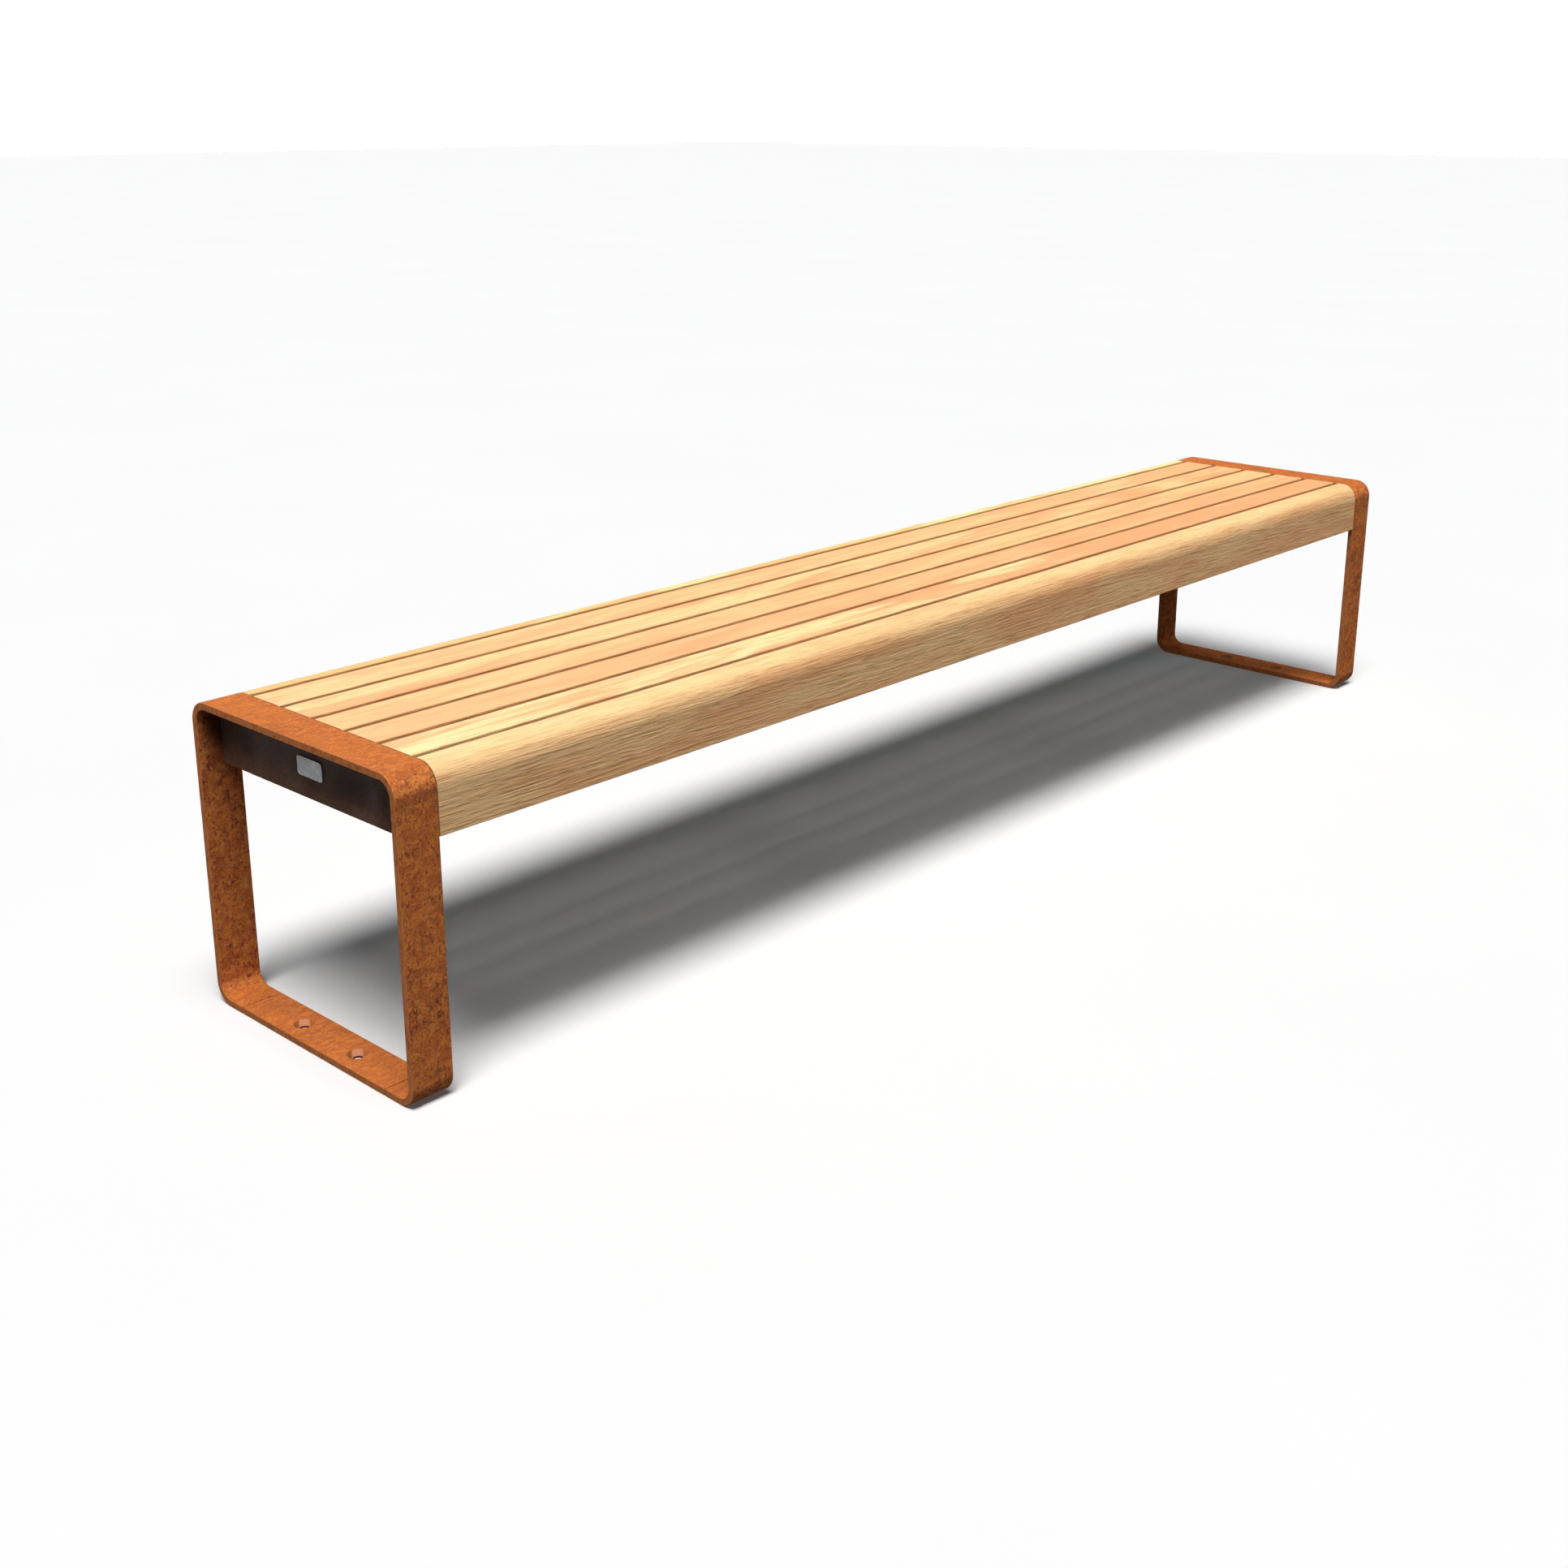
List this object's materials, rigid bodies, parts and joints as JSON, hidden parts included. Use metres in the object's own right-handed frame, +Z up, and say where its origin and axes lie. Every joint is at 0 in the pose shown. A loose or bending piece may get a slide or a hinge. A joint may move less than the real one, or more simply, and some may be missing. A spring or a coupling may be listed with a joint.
{
  "type": "backless bench",
  "caption": "Long backless street bench: hardwood boards running lengthwise between two closed end loops of weathering steel flat bar, with countersunk ground anchor holes.",
  "frame": {"origin": "on the ground, at the middle of the bench's footprint", "axes": "+X along the seat towards the right-hand end loop, +Y from the front towards the back, +Z up"},
  "size_m": [2.4, 0.44, 0.43],
  "materials": {
    "weathering_steel": "mottled orange-brown rust patina, matte",
    "hardwood": "planed, oiled",
    "frame_steel": "hot-dip galvanised, dull",
    "fastener_steel": "stainless, satin",
    "weld_steel": "weathered weld bead, matte",
    "badge_metal": "satin, blank"
  },
  "bodies": {
    "root": {"left_hoop": "weathering_steel", "right_hoop": "weathering_steel", "left_foot_strap": "weathering_steel", "right_foot_strap": "weathering_steel", "left_end_plate": "weathering_steel", "right_end_plate": "weathering_steel", "badge": "badge_metal", "front_rail": "frame_steel", "back_rail": "frame_steel", "left_ledger": "frame_steel", "right_ledger": "frame_steel", "left_bearer": "frame_steel", "right_bearer": "frame_steel", "front_board": "hardwood", "slat_1": "hardwood", "slat_2": "hardwood", "slat_3": "hardwood", "slat_4": "hardwood", "slat_5": "hardwood", "back_board": "hardwood", "slat_screws": "fastener_steel", "board_screws": "fastener_steel", "weld_studs": "fastener_steel", "stud_washers": "fastener_steel", "stud_nuts": "fastener_steel", "foot_welds": "weld_steel", "end_plate_welds": "weld_steel", "frame_welds": "weld_steel"}
  },
  "joints": []
}
